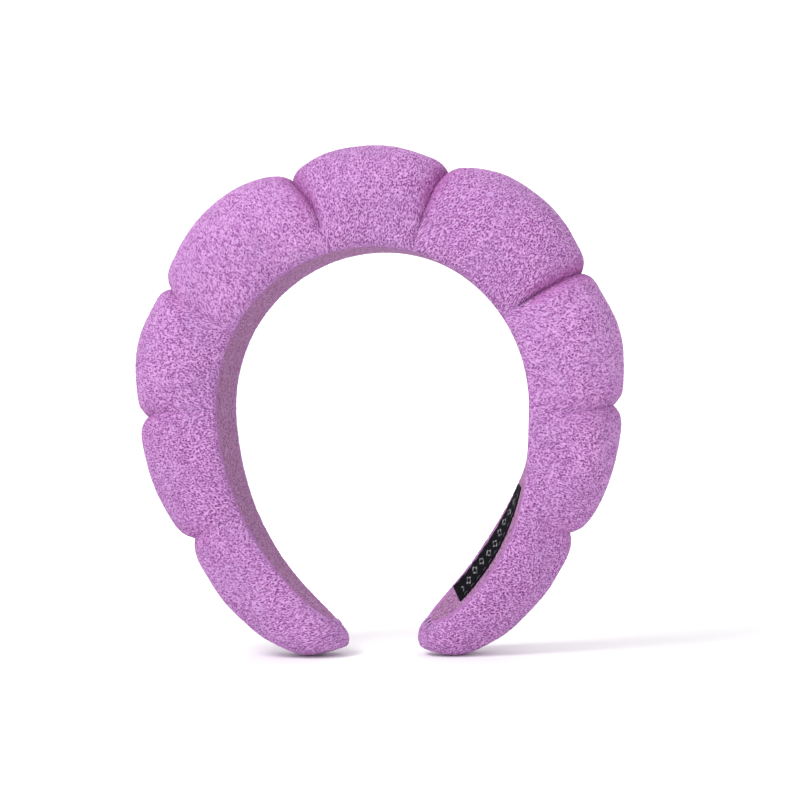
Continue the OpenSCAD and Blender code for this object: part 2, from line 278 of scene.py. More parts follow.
def nearest_cinch(turn):
    """Signed number of the cinch nearest to each turn, and how far away it is in degrees."""
    away = np.abs(np.abs(turn)[..., None] - np.array(CINCH_F))
    number = np.argmin(away, axis=-1) + 1
    return number * np.where(turn < 0, -1, 1), np.min(away, axis=-1)


def between(angle, start, end):
    """0 to 1 as the angle from the section's top goes from start to end."""
    return smooth((np.abs(angle) - start) / (end - start))


def bite_at(number, angle):
    """How far the cinches of those numbers bite at those angles."""
    look = np.vectorize(lambda n, front: (BITE_FRONT if front else BITE_BACK)[n])
    return look(number, angle < 0)


def cover_grid(turns, cinched):
    """Points of the cover, rings by columns, with or without its cinches."""
    angle = np.linspace(-np.pi, np.pi, SECTION_STEPS + 1)[None, :]
    t = np.broadcast_to(turns[:, None], (len(turns), SECTION_STEPS + 1))
    free_h = unpinched(t, LOBE_H, tip_height)
    free_y = unpinched(t, LOBE_Y, tip_depth)
    hem = np.minimum(lining_edge(t) + HEM_GAP, HEM_Y_SHARE * free_y)
    base = np.minimum(HEM_H, HEM_H_SHARE * free_h)
    h, y = section(free_h, free_y, hem, base, angle)
    if not cinched:
        return place(t, h, y)
    size = lobed(t, LOBE_H, tip_height), lobed(t, LOBE_Y, tip_depth)
    full = section(*size, hem, base, angle)
    number, away = nearest_cinch(t)
    k = 1 + (bite_at(number, angle) - 1) * between(angle, BITE_FROM, BITE_TO)
    h, y = h + (full[0] - h) * np.minimum(k, MOST_BITE_H), y + (full[1] - y) * k
    near = np.exp(-((away * MM_PER_DEGREE / GROOVE_W) ** GROOVE_POWER))
    near = near * GROOVE * k * (1 - between(angle, GROOVE_FROM, GROOVE_TO))
    out_h = h - GROOVE_CENTRE * free_h
    reach = np.maximum(np.hypot(out_h, y), 1e-6)
    h, y = h - near * out_h / reach, y - near * y / reach
    stray = np.vectorize(STRAY.get)(number) * np.where(number < 0, 1, -1)
    stray = smooth(1 - away / STRAY_REACH) * stray * between(angle, STRAY_FROM, STRAY_TO)
    rise = nose_base(t)
    h = rise + h * (1 - rise / NOSE_TOP)
    return place(t + np.where(angle < 0, stray, STRAY_BACK * stray), h, y)


def grid_mesh(name, points):
    """Mesh object of a grid of points in millimetres."""
    rows, cols = points.shape[:2]
    at = np.arange(rows * cols).reshape(rows, cols)
    faces = np.stack([at[:-1, :-1], at[1:, :-1], at[1:, 1:], at[:-1, 1:]], -1)
    me = bpy.data.meshes.new(name)
    me.from_pydata((points.reshape(-1, 3) * MM).tolist(), [], faces.reshape(-1, 4).tolist())
    ob = bpy.data.objects.new(name, me)
    bpy.context.collection.objects.link(ob)
    return ob


# Frames of the simulation, and the frame by which the cinches are drawn in
CLOTH_FRAMES, DRAWN_FRAME = 28, 14


def cloth_cover(turns, start, target):
    """Draws the cover in at its cinches as cloth under pressure, and returns its points."""
    ob = grid_mesh("cloth", start)
    ob.shape_key_add(name="Basis")
    key = ob.shape_key_add(name="cinched")
    key.data.foreach_set("co", (target * MM).astype(np.float32).ravel())
    for value, at in ((0.0, 1), (1.0, DRAWN_FRAME)):
        key.value = value
        key.keyframe_insert("value", frame=at)
    rows, cols = start.shape[:2]
    pinned = np.zeros((rows, cols), bool)
    pinned[:, [0, 1, -2, -1]] = True
    pinned[np.abs(turns) > LINING_ROUND_F] = True
    for c in CINCH_F:
        pinned[np.isclose(np.abs(turns), c, atol=1e-3)] = True
    group = ob.vertex_groups.new(name="pins")
    group.add(np.flatnonzero(pinned.ravel()).tolist(), 1.0, "REPLACE")
    cloth = ob.modifiers.new("cloth", "CLOTH")
    cs = cloth.settings
    cs.quality = 6
    cs.mass = 0.15
    cs.air_damping = 3
    cs.tension_stiffness = cs.compression_stiffness = 25
    cs.shear_stiffness = 8
    cs.bending_stiffness = 0.4
    cs.use_pressure = True
    cs.uniform_pressure_force = 4.0
    cs.vertex_group_mass = "pins"
    cs.effector_weights.gravity = 0
    cloth.collision_settings.use_collision = False
    scene = bpy.context.scene
    for f in range(1, CLOTH_FRAMES + 1):
        scene.frame_set(f)
    shape = ob.evaluated_get(bpy.context.evaluated_depsgraph_get())
    out = np.empty(rows * cols * 3, np.float32)
    shape.data.vertices.foreach_get("co", out)
    scene.frame_set(1)
    bpy.data.objects.remove(ob)
    return out.reshape(rows, cols, 3).astype(float) / MM


# Most that the cloth moves the cover, in millimetres, the grid points over which its
# broad movement is found, and the share of that which is taken out, so that the lobes
# keep their size
CLOTH_CAP, CLOTH_REACH, CLOTH_BROAD = 1.0, 5, 0.9

# Degrees from a cinch at which the movement starts, and the degrees and the columns
# from a hem over which it comes in
CALM_FROM, CALM_TURN, CALM_HEM = 0.8, 6.5, 12


def blurred(values, reach):
    """Running mean over the grid, along its rows and its columns."""
    for axis in (0, 1):
        v = np.moveaxis(values, axis, 0)
        pad = np.concatenate([v[:1]] * reach + [v] + [v[-1:]] * reach)
        v = sum(pad[k : k + len(v)] for k in range(2 * reach + 1)) / (2 * reach + 1)
        values = np.moveaxis(v, 0, axis)
    return values


def cover_shape():
    """Turns and points of the coarse cover."""
    turns = band_turns()
    target = cover_grid(turns, True)
    cloth = cloth_cover(turns, cover_grid(turns, False), target)
    move = cloth - target
    move = move - CLOTH_BROAD * blurred(move, CLOTH_REACH)
    size = np.maximum(np.linalg.norm(move, axis=-1, keepdims=True), 1e-9)
    hem = np.minimum(np.arange(SECTION_STEPS + 1), np.arange(SECTION_STEPS + 1)[::-1])
    calm = smooth((nearest_cinch(turns)[1][:, None] - CALM_FROM) / CALM_TURN)
    calm = (calm * smooth((hem - 1) / CALM_HEM)[None, :])[..., None]
    move = calm * blurred(move / size * CLOTH_CAP * np.tanh(size / CLOTH_CAP), 1)
    return turns, target + move


# ---- Fine grids, pile and meshes ------------------------------------------------


def spline(values, at, axis):
    """Catmull-Rom values along an axis at fractional indices."""
    v = np.moveaxis(values, axis, 0)
    v = np.concatenate([2 * v[:1] - v[1:2], v, 2 * v[-1:] - v[-2:-1]])
    i = np.clip(at.astype(int), 0, len(v) - 4)
    t = (at - i).reshape((-1,) + (1,) * (v.ndim - 1))
    a, b, c, d = v[i], v[i + 1], v[i + 2], v[i + 3]
    out = 0.5 * (
        2 * b
        + (c - a) * t
        + (2 * a - 5 * b + 4 * c - d) * t**2
        + (3 * b - a - 3 * c + d) * t**3
    )
    return np.moveaxis(out, 0, axis)


def even_steps(points, axis, step, stops):
    """Fractional indices along an axis about step apart, which land on every stop."""
    length = np.linalg.norm(np.diff(points, axis=axis), axis=-1)
    length = np.quantile(length, 0.75, axis=1 - axis)
    run = np.concatenate([[0], np.cumsum(length)])
    index = np.arange(len(run))
    out, at_stop = [np.array([float(stops[0])])], [0]
    for a, b in zip(stops[:-1], stops[1:]):
        n = max(1, round((run[b] - run[a]) / step))
        out.append(np.interp(np.linspace(run[a], run[b], n + 1)[1:], run, index))
        at_stop.append(at_stop[-1] + n)
    return np.concatenate(out), at_stop


def unit(v):
    return v / np.maximum(np.linalg.norm(v, axis=-1, keepdims=True), 1e-12)


def frames_of(grid):
    """Unit tangents along rows and columns, and the normal."""
    tu = unit(np.gradient(grid, axis=0))
    tv = unit(np.gradient(grid, axis=1))
    return tu, tv, unit(np.cross(tu, tv))


def noise_cube(cells, wave, spread, seed):
    """Periodic cube of noise whose grains are about wave cells apart."""
    rng = np.random.default_rng(seed)
    spectrum = np.fft.rfftn(rng.standard_normal((cells,) * 3))
    k = np.fft.fftfreq(cells)
    kz = np.fft.rfftfreq(cells)
    r = np.sqrt(k[:, None, None] ** 2 + k[None, :, None] ** 2 + kz[None, None] ** 2)
    keep = np.exp(-0.5 * ((r * wave - 1) / spread) ** 2)
    cube = np.fft.irfftn(spectrum * keep, s=(cells,) * 3, axes=(0, 1, 2))
    return (cube / cube.std()).astype(np.float32)


def look_up(cube, points, cell):
    """Values of a periodic cube, with cells of that size in millimetres, at points."""
    n = len(cube)
    p = points / cell
    i = np.floor(p).astype(int)
    t = (p - i).astype(np.float32)
    i %= n
    j = (i + 1) % n
    out = 0
    for corner in np.ndindex(2, 2, 2):
        pick = [(j if c else i)[..., k] for k, c in enumerate(corner)]
        share = [t[..., k] if c else 1 - t[..., k] for k, c in enumerate(corner)]
        out = out + cube[tuple(pick)] * share[0] * share[1] * share[2]
    return out


# Cells of the two noises, in millimetres: grains of the pile, and the way it lies
GRAIN_CELL, DRIFT_CELL = 0.2, 2.0
GRAIN = noise_cube(96, 0.8 / GRAIN_CELL, 0.35, 11)
DRIFT = noise_cube(64, 8.0, 0.5, 12)


def pile(points, along, across, stroke=0.22, lean=1.4):
    """Height of the pile, 0 to 1: short strokes whose direction drifts over the cloth."""
    turn = lean * look_up(DRIFT, points + 40, DRIFT_CELL)
    way = along * np.cos(turn)[..., None] + across * np.sin(turn)[..., None]
    value = 0
    for step in (-1, -0.5, 0, 0.5, 1):
        value = value + look_up(GRAIN, points + way * (step * stroke), GRAIN_CELL)
    value = value / value.std()
    return 0.5 + 0.5 * np.tanh(0.9 * value + 0.25)


def mesh_object(name, verts, loops, sizes):
    """Mesh object of points in millimetres and faces given as one run of corners."""
    me = bpy.data.meshes.new(name)
    me.vertices.add(len(verts))
    me.vertices.foreach_set("co", (verts * MM).astype(np.float32).ravel())
    me.loops.add(len(loops))
    me.loops.foreach_set("vertex_index", loops.astype(np.int32))
    me.polygons.add(len(sizes))
    starts = np.concatenate([[0], np.cumsum(sizes)[:-1]])
    me.polygons.foreach_set("loop_start", starts.astype(np.int32))
    me.update(calc_edges=True)
    me.shade_smooth()
    ob = bpy.data.objects.new(name, me)
    bpy.context.collection.objects.link(ob)
    return ob


def coarse_of(n, step):
    return np.unique(np.append(np.arange(0, n - 1, step), n - 1))


def shell(name, outer, under, normals, step=6):
    """Closed mesh of a fine outer grid, with its normals, and a coarser inner grid."""
    rows, cols = outer.shape[:2]
    ri, ci = coarse_of(rows, step), coarse_of(cols, step)
    inner = under[np.ix_(ri, ci)]
    at = np.arange(rows * cols).reshape(rows, cols)
    into = rows * cols + np.arange(len(ri) * len(ci)).reshape(len(ri), len(ci))
    outside = np.stack([at[:-1, :-1], at[1:, :-1], at[1:, 1:], at[:-1, 1:]], -1)
    inside = np.stack([into[:-1, :-1], into[:-1, 1:], into[1:, 1:], into[1:, :-1]], -1)
    quads = np.concatenate([outside.reshape(-1, 4), inside.reshape(-1, 4)])
    rims = []
    for k, (a, b) in enumerate(zip(ri[:-1], ri[1:])):
        rims.append([*at[a : b + 1, 0][::-1], into[k, 0], into[k + 1, 0]])
        rims.append([*at[a : b + 1, -1], into[k + 1, -1], into[k, -1]])
    for k, (a, b) in enumerate(zip(ci[:-1], ci[1:])):
        rims.append([*at[0, a : b + 1], into[0, k + 1], into[0, k]])
        rims.append([*at[-1, a : b + 1][::-1], into[-1, k], into[-1, k + 1]])
    sizes = np.array([4] * len(quads) + [len(r) for r in rims])
    loops = np.concatenate([quads.ravel(), np.concatenate(rims)])
    verts = np.concatenate([outer.reshape(-1, 3), inner.reshape(-1, 3)])
    ob = mesh_object(name, verts, loops, sizes)
    facing = np.concatenate([normals.reshape(-1, 3), -normals[np.ix_(ri, ci)].reshape(-1, 3)])
    ob.data.normals_split_custom_set_from_vertices(facing.tolist())
    return ob, len(ri) * len(ci)


def tube(name, rings, closed=False):
    """Closed mesh of rings of points, capped at both ends or joined end to end."""
    n, m = rings.shape[:2]
    at = np.arange(n * m).reshape(n, m)
    at = np.concatenate([at, at[:, :1]], axis=1)
    if closed:
        at = np.concatenate([at, at[:1]])
    quads = np.stack([at[:-1, :-1], at[:-1, 1:], at[1:, 1:], at[1:, :-1]], -1).reshape(-1, 4)
    loops, sizes = quads.ravel(), [4] * len(quads)
    if not closed:
        loops = np.concatenate([loops, at[0, :-1][::-1], at[-1, :-1]])
        sizes += [m, m]
    return mesh_object(name, rings.reshape(-1, 3), loops, np.array(sizes))


def join(name, parts):
    """One object of several, with the name given."""
    bpy.ops.object.select_all(action="DESELECT")
    for p in parts:
        p.select_set(True)
    bpy.context.view_layer.objects.active = parts[0]
    bpy.ops.object.join()
    parts[0].name = parts[0].data.name = name
    return parts[0]


def thread_rings(path, radius, pitch=2.2, closed=False):
    """Rings round a path for a two-ply thread."""
    tangent = np.gradient(path, axis=0)
    if closed:
        tangent = np.roll(path, -1, axis=0) - np.roll(path, 1, axis=0)
    tangent = unit(tangent)
    axis = unit(np.cross(tangent, np.array([0.37, 0.9, 0.22])))
    other = np.cross(tangent, axis)
    run = np.concatenate([[0], np.cumsum(np.linalg.norm(np.diff(path, axis=0), axis=1))])
    whole = run[-1] + (np.linalg.norm(path[0] - path[-1]) if closed else 0)
    turns = max(1, round(whole / pitch)) if closed else whole / pitch
    spin = 2 * np.pi * run / whole * turns
    a = np.linspace(0, 2 * np.pi, 12, endpoint=False)[None, :]
    r = radius * (0.72 + 0.28 * np.abs(np.cos(a - spin[:, None])))
    return (
        path[:, None]
        + (r * np.cos(a))[..., None] * axis[:, None]
        + (r * np.sin(a))[..., None] * other[:, None]
    )


def store(ob, name, values):
    """Stores one number for each vertex."""
    layer = ob.data.attributes.new(name, "FLOAT", "POINT")
    layer.data.foreach_set("value", np.asarray(values, np.float32).ravel())


# ---- Spans: each runs from the middle of one lobe to the middle of the next --------


class Span:
    """A stretch of the band round one joint, from the middle of one lobe to the middle of the
    next.
    """

    REACH = 14.0  # millimetres on either side of the joint

    def __init__(self, side, i):
        word = "right" if side > 0 else "left"
        self.name, self.number = f"{word}_{i + 1}", side * (i + 1)
        self.a = "crown" if i == 0 else f"{word}_{SEGMENTS[i - 1]}"
        self.b = f"{word}_{SEGMENTS[i]}"
        ends = [*MIDDLES, TIP_END_F]
        self.turns = sorted((side * ends[i], side * ends[i + 1]))
        self.nodes = [f"{self.a}_cover", f"{self.b}_cover"]
        pos = Vector(joint_named(f"{word}_flex_{i + 1}")["pos_m"])
        a = math.radians(CINCH_F[i])
        way = Vector((side * math.cos(a), 0, -math.sin(a))) * self.REACH * MM
        self.start, self.end = pos - way, pos + way

    def bend(self, ob):
        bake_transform(ob)


SPANS = [Span(-1, i) for i in (3, 2, 1, 0)] + [Span(1, i) for i in range(4)]
SPAN_ENDS = [SPANS[0].turns[0]] + [s.turns[1] for s in SPANS]


def span_rows(last, step):
    """Turns about step millimetres apart along the hoop, and the row where each span ends."""
    ends = [max(-last, min(last, t)) for t in SPAN_ENDS]
    turns, marks = [ends[0]], [0]
    for a, b in zip(ends[:-1], ends[1:]):
        mm = math.radians(b - a) * ((ARM_R if abs(a + b) > 180 else HEAD_R) + HINGE_H)
        n = max(2, round(mm / step))
        turns += [a + (b - a) * k / n for k in range(1, n + 1)]
        marks.append(marks[-1] + n)
    return np.array(turns), marks


# ---- Materials -----------------------------------------------------------------------


class Nodes:
    """A material's node tree, with short calls."""

    def __init__(self, name):
        self.mat = bpy.data.materials.new(name)
        self.mat.use_nodes = True
        self.tree = self.mat.node_tree
        self.shader = self.tree.nodes["Principled BSDF"]

    def feed(self, socket, value):
        if isinstance(value, bpy.types.NodeSocket):
            self.tree.links.new(value, socket)
        else:
            socket.default_value = value

    def add(self, kind, settings=None, **inputs):
        node = self.tree.nodes.new(kind)
        for k, v in (settings or {}).items():
            setattr(node, k, v)
        for k, v in inputs.items():
            self.feed(node.inputs[k.replace("_", " ")], v)
        return node

    def set(self, **inputs):
        for k, v in inputs.items():
            self.feed(self.shader.inputs[k.replace("_", " ")], v)

    def attribute(self, name):
        return self.add("ShaderNodeAttribute", {"attribute_name": name}).outputs["Fac"]

    def ramp(self, value, stops):
        node = self.add("ShaderNodeValToRGB")
        self.feed(node.inputs[0], value)
        ramp = node.color_ramp
        while len(ramp.elements) < len(stops):
            ramp.elements.new(0.5)
        for element, (at, colour) in zip(ramp.elements, stops):
            element.position = at
            element.color = (*colour, 1)
        return node.outputs["Color"]

    def noise(self, scale, detail=2.0, rough=0.5):
        where = self.add("ShaderNodeTexCoord").outputs["Object"]
        return self.add(
            "ShaderNodeTexNoise", Vector=where, Scale=scale, Detail=detail, Roughness=rough
        ).outputs["Fac"]

    def loops(self, along, across):
        """Loops of towelling in rows, 1 on the pile and 0 in the pits between them."""
        weave = self.add("ShaderNodeAttribute", {"attribute_name": "weave"}).outputs["Vector"]
        where = self.add("ShaderNodeVectorMath", {"operation": "MULTIPLY"})
        self.feed(where.inputs[0], weave)
        self.feed(where.inputs[1], (1 / along, 1 / across, 1))
        pits = self.add(
            "ShaderNodeTexVoronoi", Vector=where.outputs[0], Scale=1.0, Randomness=0.8
        )
        node = self.add("ShaderNodeMapRange", From_Min=0.12, From_Max=0.46)
        self.feed(node.inputs["Value"], pits.outputs["Distance"])
        return node.outputs[0]

    def math(self, kind, a, b=0.0):
        node = self.add("ShaderNodeMath", {"operation": kind})
        self.feed(node.inputs[0], a)
        self.feed(node.inputs[1], b)
        return node.outputs[0]

    def mix(self, factor, a, b):
        node = self.add("ShaderNodeMix", {"data_type": "RGBA"})
        for k, v in ((0, factor), (6, a), (7, b)):
            self.feed(node.inputs[k], (*v, 1) if isinstance(v, tuple) else v)
        return node.outputs[2]

    def bump(self, height, strength, distance):
        node = self.add("ShaderNodeBump", Strength=strength, Distance=distance, Height=height)
        self.set(Normal=node.outputs["Normal"])


def terry_material():
    n = Nodes("terry")
    loops = n.loops(0.82, 1.1)
    fine = n.math("MULTIPLY", n.math("SUBTRACT", n.noise(2600, 3.0, 0.6), 0.5), 0.8)
    height = n.math("ADD", n.math("MULTIPLY", n.attribute("pile"), 0.38), fine)
    height = n.math("ADD", height, n.math("MULTIPLY", loops, 0.66))
    # Painted shade in the pits between the loops and painted highlight on their tops: the colour
    # runs from dark to pale with the height of the pile, fine noise and loops.
    tone = n.ramp(
        height,
        [
            (0.1, (0.12, 0.02, 0.12)),
            (0.45, (0.25, 0.07, 0.26)),
            (0.75, (0.38, 0.14, 0.40)),
            (1.0, (0.62, 0.35, 0.65)),
        ],
    )
    patch = n.ramp(n.noise(70, 2.0, 0.5), [(0.35, (0, 0, 0)), (0.65, (1, 1, 1))])
    cool = n.mix(n.math("MULTIPLY", patch, 0.25), tone, (0.36, 0.20, 0.43))
    # Painted shade in the creases at the cinches: a darker magenta mixed into the colour there.
    deep = n.mix(n.math("MULTIPLY", n.attribute("crease_painted_shade"), 0.65), cool, (0.33, 0.06, 0.28))
    n.set(Base_Color=deep, Roughness=0.9, Sheen_Weight=0.1, Sheen_Roughness=0.5)
    n.set(Sheen_Tint=(0.95, 0.75, 1.0, 1), Specular_IOR_Level=0.1, IOR=1.2)
    n.bump(n.math("ADD", loops, n.math("MULTIPLY", n.noise(3800, 3.0, 0.6), 0.6)), 0.6, 0.0003)
    return n.mat


def lining_material():
    n = Nodes("lining")
    # Painted shade and highlight in the nap: the colour is darker where the nap and the noise are
    # low and paler where they are high.
    height = n.math("ADD", n.math("MULTIPLY", n.attribute("pile"), 0.4), n.noise(1500, 4.0, 0.65))
    tone = n.ramp(
        height,
        [(0.45, (0.12, 0.035, 0.105)), (0.68, (0.29, 0.125, 0.26)), (0.95, (0.48, 0.28, 0.47))],
    )
    fuzz = n.math("ADD", n.attribute("edge"), n.math("SUBTRACT", n.noise(900, 3.0, 0.6), 0.5))
    hidden = n.ramp(fuzz, [(0.45, (0, 0, 0)), (0.6, (1, 1, 1))])
    tone = n.mix(hidden, tone, (0.40, 0.17, 0.42))
    n.set(Base_Color=tone, Roughness=0.95, Sheen_Weight=0.1, Sheen_Roughness=0.4)
    n.set(Sheen_Tint=(0.9, 0.8, 1.0, 1), Specular_IOR_Level=0.1, IOR=1.2)
    n.bump(n.noise(2600, 4.0, 0.7), 0.5, 0.0003)
    return n.mat


def foam_material():
    n = Nodes("foam")
    tone = n.ramp(
        n.noise(900, 3.0, 0.6), [(0.3, (0.72, 0.68, 0.55)), (0.7, (0.92, 0.9, 0.8))]
    )
    n.set(Base_Color=tone, Roughness=0.95)
    n.bump(n.noise(1400, 2.0, 0.7), 0.8, 0.0006)
    return n.mat


def hoop_material():
    n = Nodes("hoop")
    tone = n.ramp(
        n.noise(60, 3.0, 0.5), [(0.3, (0.78, 0.79, 0.8)), (0.7, (0.86, 0.87, 0.88))]
    )
    n.set(Base_Color=tone, Roughness=0.38, Specular_IOR_Level=0.4)
    n.bump(n.noise(400, 2.0, 0.5), 0.15, 0.0002)
    return n.mat


def thread_material(name, colour):
    n = Nodes(name)
    dark = tuple(0.6 * c for c in colour)
    tone = n.ramp(n.noise(2200, 2.0, 0.5), [(0.35, dark), (0.65, colour)])
    n.set(Base_Color=tone, Roughness=0.6, Sheen_Weight=0.3)
    n.bump(n.noise(5000, 2.0, 0.5), 0.4, 0.0001)
    return n.mat


def label_material():
    n = Nodes("label")
    satin = n.ramp(
        n.noise(1800, 2.0, 0.5), [(0.3, (0.003, 0.003, 0.004)), (0.7, (0.012, 0.011, 0.015))]
    )
    tone = n.mix(n.attribute("ink"), satin, (0.42, 0.42, 0.46))
    n.set(Base_Color=tone, Roughness=0.6, Specular_IOR_Level=0.1, IOR=1.08)
    n.bump(n.noise(3500, 2.0, 0.5), 0.4, 0.0001)
    return n.mat


TERRY = terry_material()
LINING = lining_material()
FOAM = foam_material()
HOOP = hoop_material()
CINCH_THREAD = thread_material("cinch_thread", (0.40, 0.13, 0.42))
SEAM_THREAD = thread_material("seam_thread", (0.50, 0.24, 0.55))
LABEL = label_material()
LABEL_THREAD = thread_material("label_thread", (0.03, 0.03, 0.035))


def dress(ob, mat):
    ob.data.materials.append(mat)


# ---- Terry cover -----------------------------------------------------------------------

COVER_STEP, QUICK_STEP = 0.36, 0.72
PILE_HEIGHT, PILE_MIDDLE = 0.5, 0.45
HEM_ROUND, HEM_THICK, FULL_THICK = 3.0, 0.5, COVER_T - 0.2
CREASE_W, CREASE_POWER = 4.2, 1.5
LOBE_SHIFT = 7.3  # keeps the weaves of two lobes unlike each other


def crease_shade(turns, rows_at, cols_at):
    """How deep in the creases each point is, 0 to 1, which sets the painted shade there."""
    t = np.interp(rows_at, np.arange(len(turns)), turns)[:, None]
    angle = ((cols_at / SECTION_STEPS) * 2 - 1)[None, :] * np.pi
    t, angle = np.broadcast_arrays(t, angle)
    number, away = nearest_cinch(t)
    k = bite_at(number, angle) * (1 - between(angle, SHADE_FROM, SHADE_TO))
    return np.clip(k, 0, 1) * np.exp(-((away * MM_PER_DEGREE / CREASE_W) ** CREASE_POWER))


def weave_of(grid, rows_turn, marks):
    """Distances over the cloth, along the band from each lobe's middle and across it."""
    cinches = np.array([-c for c in CINCH_F[::-1]] + CINCH_F)
    lobe = np.searchsorted(cinches, rows_turn)
    start = np.array(marks)
    start[0] = int(np.argmin(np.abs(rows_turn - cinches[0])))
    start[-1] = int(np.argmin(np.abs(rows_turn - cinches[-1])))
    along = np.cumsum(np.linalg.norm(np.diff(grid, axis=0, prepend=grid[:1]), axis=-1), axis=0)
    along = along - along[start[lobe]]
    across = np.linalg.norm(np.diff(grid, axis=1, prepend=grid[:, :1]), axis=-1)
    across = np.cumsum(across, axis=1)
    across = across - across[:, across.shape[1] // 2, None]
    shift = np.broadcast_to(LOBE_SHIFT * lobe[:, None], along.shape)
    return np.stack([along, across, shift], -1)


def build_cover(turns, coarse):
    stops = [int(np.argmin(np.abs(turns - t))) for t in SPAN_ENDS]
    step = COVER_STEP
    rows_at, marks = even_steps(coarse, 0, step, stops)
    cols_at, _ = even_steps(coarse, 1, step, [0, SECTION_STEPS])
    grid = spline(spline(coarse, rows_at, 0), cols_at, 1)
    tu, tv, out = frames_of(grid)
    # Strength of the painted shade in the creases at the cinches
    crease_painted_shade = crease_shade(turns, rows_at, cols_at)
    nap = pile(grid, tv, tu, stroke=0.22, lean=0.7)
    weave = weave_of(grid, np.interp(rows_at, np.arange(len(turns)), turns), marks)
    edge = np.minimum(np.arange(len(cols_at)), np.arange(len(cols_at))[::-1]) * step
    surface = grid + out * (PILE_HEIGHT * (nap - PILE_MIDDLE))[..., None]
    facing = frames_of(surface)[2]
    thick = HEM_THICK + (FULL_THICK - HEM_THICK) * smooth(edge / HEM_ROUND)
    under = grid - out * thick[None, :, None]
    for span, a, b in zip(SPANS, marks[:-1], marks[1:]):
        part = slice(a, b + 1)
        ob, inner = shell(f"cover_{span.name}", surface[part], under[part], facing[part])
        store(ob, "pile", np.concatenate([nap[part].ravel(), np.full(inner, 0.3)]))
        store(ob, "crease_painted_shade", np.concatenate([crease_painted_shade[part].ravel(), np.zeros(inner)]))
        layer = ob.data.attributes.new("weave", "FLOAT_VECTOR", "POINT")
        flat = np.concatenate([weave[part].ravel(), np.zeros(3 * inner)])
        layer.data.foreach_set("vector", flat.astype(np.float32))
        dress(ob, TERRY)
        span.bend(ob)
        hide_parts(*span.nodes)


build_cover(*cover_shape())

# ---- Lining, hoop and seams -------------------------------------------------------------

LINING_STEP, LINING_COLUMNS = 0.42, 72
LINING_CROWN, LINING_LIP = 0.25, 0.2
LINING_NAP = 0.3
LINING_FUZZ = 3.0  # width of the edge over which the terry's colour comes in

# Height of the seams, their distance from the lining's edge, and the thread's radius
SEAM_H, SEAM_GAP, SEAM_R = 1.6, 0.65, 0.35


def build_lining():
    coarser = 1
    turns, marks = span_rows(LINING_END - 0.02, LINING_STEP * coarser)
    across = np.linspace(1, -1, LINING_COLUMNS // coarser)[None, :]
    t = turns[:, None]
    h = LINING_LIP * across**6 - LINING_CROWN * (1 - across**2)
    grid = place(t, h, lining_edge(t) * across)
    tu, tv, out = frames_of(grid)
    nap = pile(grid, tu, tv, stroke=0.25, lean=3.0)
    surface = grid + out * (LINING_NAP * (nap - 0.5))[..., None]
    facing = frames_of(surface)[2]
    under = place(t, np.full_like(grid[..., 0], LINING_T), lining_edge(t) * across)
    inset = lining_edge(t) * (1 - np.abs(across))
    edge = 1 - smooth(inset / LINING_FUZZ)
    for span, a, b in zip(SPANS, marks[:-1], marks[1:]):
        part = slice(a, b + 1)
        ob, inner = shell(f"lining_{span.name}", surface[part], under[part], facing[part])
        store(ob, "pile", np.concatenate([nap[part].ravel(), np.full(inner, 0.5)]))
        store(ob, "edge", np.concatenate([edge[part].ravel(), np.zeros(inner)]))
        dress(ob, LINING)
        span.bend(ob)
        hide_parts("lining")


def build_hoop():
    turns, marks = span_rows(90 + HOOP_TURN, 1.5)
    d = np.radians(90 + HOOP_TURN - np.abs(turns)) * ARM_R / (HOOP_W / 2)
    half = HOOP_W / 2 * np.sqrt(np.clip(1 - np.clip(1 - d, 0, 1) ** 2, 0.0006, 1))
    a = np.linspace(0, 2 * np.pi, 24, endpoint=False)[None, :]
    mid, thick = (HOOP_H0 + HOOP_H1) / 2, (HOOP_H1 - HOOP_H0) / 2
    round_y = np.sign(np.cos(a)) * np.abs(np.cos(a)) ** 0.25
    round_h = np.sign(np.sin(a)) * np.abs(np.sin(a)) ** 0.5
    rings = place(turns[:, None], mid + thick * round_h, half[:, None] * round_y)
    for span, i, j in zip(SPANS, marks[:-1], marks[1:]):
        ob = tube(f"hoop_{span.name}", rings[i : j + 1])
        dress(ob, HOOP)
        span.bend(ob)
        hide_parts("hoop")


def build_seams():
    turns, marks = span_rows(LINING_END - 0.3, SEAM_R)
    for word, side in (("front", -1), ("back", 1)):
        path = place(turns, SEAM_H, side * (lining_edge(turns) + SEAM_GAP))
        rings = thread_rings(path, SEAM_R)
        for span, i, j in zip(SPANS, marks[:-1], marks[1:]):
            ob = tube(f"{word}_seam_{span.name}", rings[i : j + 1])
            dress(ob, SEAM_THREAD)
            span.bend(ob)
            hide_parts(f"{word}_seam")


build_lining()
build_hoop()
build_seams()

# ---- Foam and cinch threads ---------------------------------------------------------------

OPEN_TURN = [joint_named(f"right_flex_{i + 1}")["range_deg"][1] for i in range(4)]
SPARE_TURN, SPARE_GAP = 0.7, 1.0

# Distance from the cover's outside to the foam, the same in the tips, how much more
# it is at a lobe's ends, the share of the lobe over which that fades out, and the
# share of the tip lobe at which its foam ends
FOAM_AIR, TIP_FOAM_AIR, END_AIR, END_SHARE, FOAM_END_S = 3.4, 4.0, 4.5, 0.25, 0.84
FOAM_RINGS, FOAM_FIRST_S = 32, 0.02


